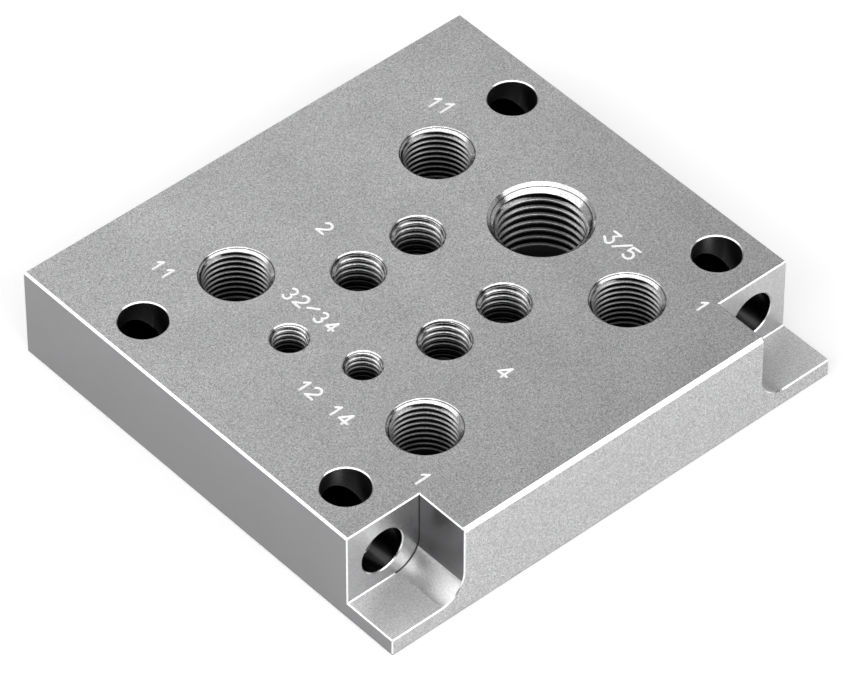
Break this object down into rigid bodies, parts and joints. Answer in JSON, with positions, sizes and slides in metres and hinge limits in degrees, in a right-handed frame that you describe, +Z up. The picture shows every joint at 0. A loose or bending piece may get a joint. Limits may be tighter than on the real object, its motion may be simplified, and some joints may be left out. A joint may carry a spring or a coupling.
{
  "type": "valve manifold plate",
  "caption": "Flat machined aluminium manifold plate with threaded ports in its top face, plain bolt holes through it and screw-head pockets in its front corners.",
  "frame": {"origin": "the middle of the plate's underside", "axes": "+X to the right along the front face, +Y from the front face with its corner pockets to the back face, +Z up out of the ported top face"},
  "size_m": [0.074, 0.071, 0.014],
  "materials": {
    "milled_aluminium": "fine satin, lightly blasted"
  },
  "bodies": {
    "root": {"manifold_plate": "milled_aluminium"}
  },
  "joints": []
}
